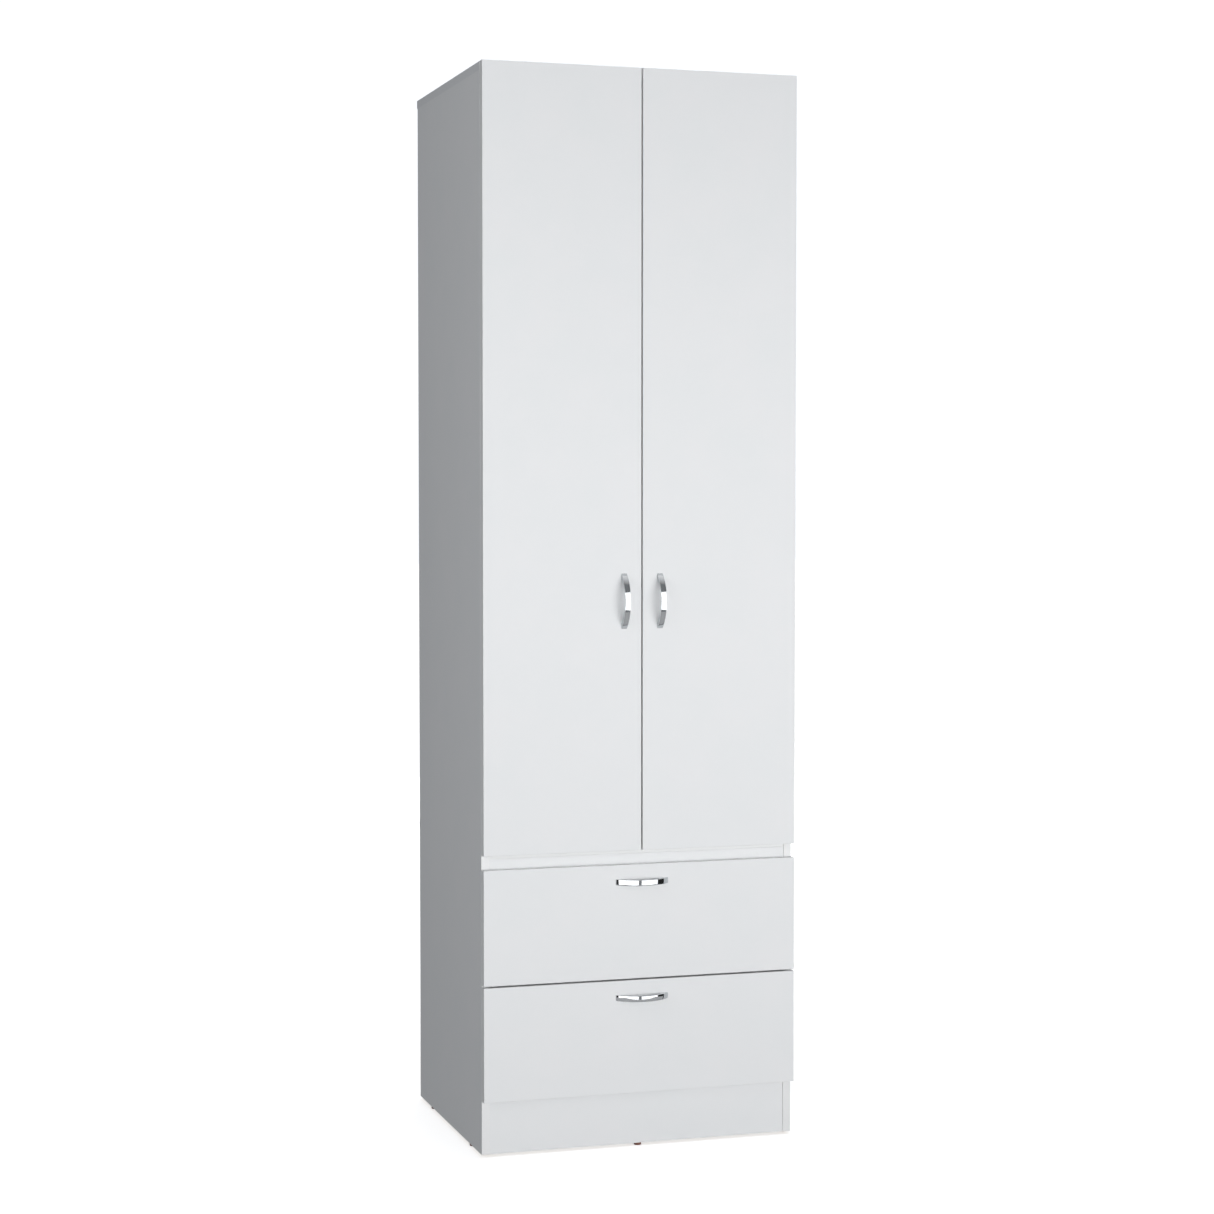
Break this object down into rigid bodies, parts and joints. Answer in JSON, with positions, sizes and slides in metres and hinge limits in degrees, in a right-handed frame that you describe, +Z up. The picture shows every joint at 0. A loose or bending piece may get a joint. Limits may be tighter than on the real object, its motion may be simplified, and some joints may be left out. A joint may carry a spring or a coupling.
{
  "type": "two-door wardrobe",
  "caption": "Tall white wardrobe with hinged doors over a hanging space, drawers below and bow handles.",
  "frame": {"origin": "on the floor, at the centre of the bounding box, handles included", "axes": "+Z up, the doors and drawers face -Y, +X to the right seen from the front"},
  "size_m": [0.592, 0.524, 1.95],
  "materials": {
    "white_melamine_board": "white melamine-faced chipboard, fine satin grain-free surface",
    "white_lacquered_hardboard": "hardboard lacquered white on the inner face",
    "white_plastic_profile": "extruded white plastic",
    "polished_chrome_plate": "polished chrome plate",
    "brown_plastic": "moulded brown plastic",
    "beech_dowel": "turned and fluted beech",
    "satin_zinc_casting": "die-cast zinc",
    "zinc_plated_steel": "bright zinc plate",
    "nickel_plated_steel": "nickel plate"
  },
  "bodies": {
    "carcass": {"left_side_panel": "white_melamine_board", "right_side_panel": "white_melamine_board", "top_panel": "white_melamine_board", "fixed_shelf": "white_melamine_board", "bottom_panel": "white_melamine_board", "front_rail": "white_melamine_board", "plinth_board": "white_melamine_board", "rear_plinth_board": "white_melamine_board", "upper_back_panel": "white_lacquered_hardboard", "lower_back_panel": "white_lacquered_hardboard", "back_joining_strip": "white_plastic_profile", "back_panel_nails": "zinc_plated_steel", "cam_bolts": "zinc_plated_steel", "cam_locks": "satin_zinc_casting", "joint_dowels": "beech_dowel", "floor_glides": "brown_plastic", "glide_nails": "zinc_plated_steel", "hanging_rod": "polished_chrome_plate", "rod_sockets": "satin_zinc_casting", "side_panel_screws": "zinc_plated_steel", "hinge_arms": "nickel_plated_steel", "hinge_arm_pins": "zinc_plated_steel", "hinge_plates": "nickel_plated_steel", "hinge_plate_screws": "zinc_plated_steel", "runner_cabinet_members": "zinc_plated_steel"},
    "left_link_set": {"left_hinge_links": "nickel_plated_steel"},
    "left_door": {"left_door_panel": "white_melamine_board", "left_door_handle": "polished_chrome_plate", "left_door_handle_screws": "zinc_plated_steel", "left_hinge_cups": "nickel_plated_steel", "left_hinge_cup_screws": "zinc_plated_steel", "left_hinge_cup_pins": "zinc_plated_steel"},
    "right_link_set": {"right_hinge_links": "nickel_plated_steel"},
    "right_door": {"right_door_panel": "white_melamine_board", "right_door_handle": "polished_chrome_plate", "right_door_handle_screws": "zinc_plated_steel", "right_hinge_cups": "nickel_plated_steel", "right_hinge_cup_screws": "zinc_plated_steel", "right_hinge_cup_pins": "zinc_plated_steel"},
    "upper_runner_middles": {"upper_runner_middle_members": "zinc_plated_steel"},
    "upper_drawer": {"upper_drawer_front": "white_melamine_board", "upper_drawer_left_side": "white_melamine_board", "upper_drawer_right_side": "white_melamine_board", "upper_drawer_back": "white_melamine_board", "upper_drawer_bottom": "white_lacquered_hardboard", "upper_drawer_fixings": "zinc_plated_steel", "upper_drawer_handle": "polished_chrome_plate", "upper_drawer_handle_screws": "zinc_plated_steel", "upper_runner_drawer_members": "zinc_plated_steel"},
    "lower_runner_middles": {"lower_runner_middle_members": "zinc_plated_steel"},
    "lower_drawer": {"lower_drawer_front": "white_melamine_board", "lower_drawer_left_side": "white_melamine_board", "lower_drawer_right_side": "white_melamine_board", "lower_drawer_back": "white_melamine_board", "lower_drawer_bottom": "white_lacquered_hardboard", "lower_drawer_fixings": "zinc_plated_steel", "lower_drawer_handle": "polished_chrome_plate", "lower_drawer_handle_screws": "zinc_plated_steel", "lower_runner_drawer_members": "zinc_plated_steel"}
  },
  "joints": [
    {"name": "left_link_swing", "type": "hinge", "parent": "carcass", "child": "left_link_set", "pos_m": [-0.2686, -0.2295, 1.247], "axis": [0, 0, 1], "range_deg": [0, 68.3]},
    {"name": "left_door_swing", "type": "hinge", "parent": "left_link_set", "child": "left_door", "pos_m": [-0.2843, -0.2245, 1.247], "axis": [0, 0, -1], "range_deg": [0, 173.25]},
    {"name": "right_link_swing", "type": "hinge", "parent": "carcass", "child": "right_link_set", "pos_m": [0.2686, -0.2295, 1.247], "axis": [0, 0, -1], "range_deg": [0, 68.3]},
    {"name": "right_door_swing", "type": "hinge", "parent": "right_link_set", "child": "right_door", "pos_m": [0.2843, -0.2245, 1.247], "axis": [0, 0, 1], "range_deg": [0, 173.25]},
    {"name": "upper_drawer_slide", "type": "slide", "parent": "carcass", "child": "upper_drawer", "axis": [0, -1, 0], "range_m": [0, 0.34]},
    {"name": "upper_runner_slide", "type": "slide", "parent": "carcass", "child": "upper_runner_middles", "axis": [0, -1, 0], "range_m": [0, 0.171]},
    {"name": "lower_drawer_slide", "type": "slide", "parent": "carcass", "child": "lower_drawer", "axis": [0, -1, 0], "range_m": [0, 0.34]},
    {"name": "lower_runner_slide", "type": "slide", "parent": "carcass", "child": "lower_runner_middles", "axis": [0, -1, 0], "range_m": [0, 0.171]}
  ],
  "couplings": [
    {"joint": "left_link_swing", "follows": "left_door_swing", "ratio": 0.39394},
    {"joint": "right_link_swing", "follows": "right_door_swing", "ratio": 0.39394},
    {"joint": "upper_runner_slide", "follows": "upper_drawer_slide", "ratio": 0.5},
    {"joint": "lower_runner_slide", "follows": "lower_drawer_slide", "ratio": 0.5}
  ]
}
